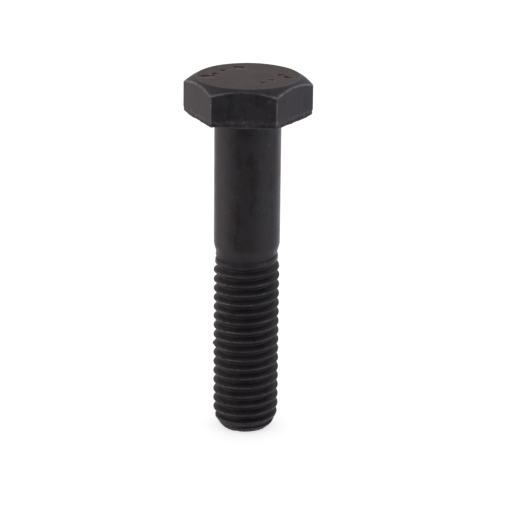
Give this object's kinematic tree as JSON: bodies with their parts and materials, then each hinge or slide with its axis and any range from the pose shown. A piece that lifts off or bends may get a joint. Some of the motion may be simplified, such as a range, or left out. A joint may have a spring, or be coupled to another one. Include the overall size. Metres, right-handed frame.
{
  "type": "hex bolt",
  "caption": "Part-threaded hexagon head bolt with a washer face, plain shank, rolled coarse right-hand thread and chamfered point, in black-finished steel.",
  "frame": {"origin": "centre of the bearing face under the head, on the bolt's axis", "axes": "+Z along the bolt's axis, out through the top of the head; the thread and point are at -Z; two of the six flats face -Y and +Y"},
  "size_m": [0.0194, 0.0168, 0.0556],
  "materials": {
    "black_steel": "black conversion coating on steel, lightly oiled, satin, with brighter worn thread crests and edges"
  },
  "bodies": {
    "root": {"hex_bolt": "black_steel"}
  },
  "joints": []
}
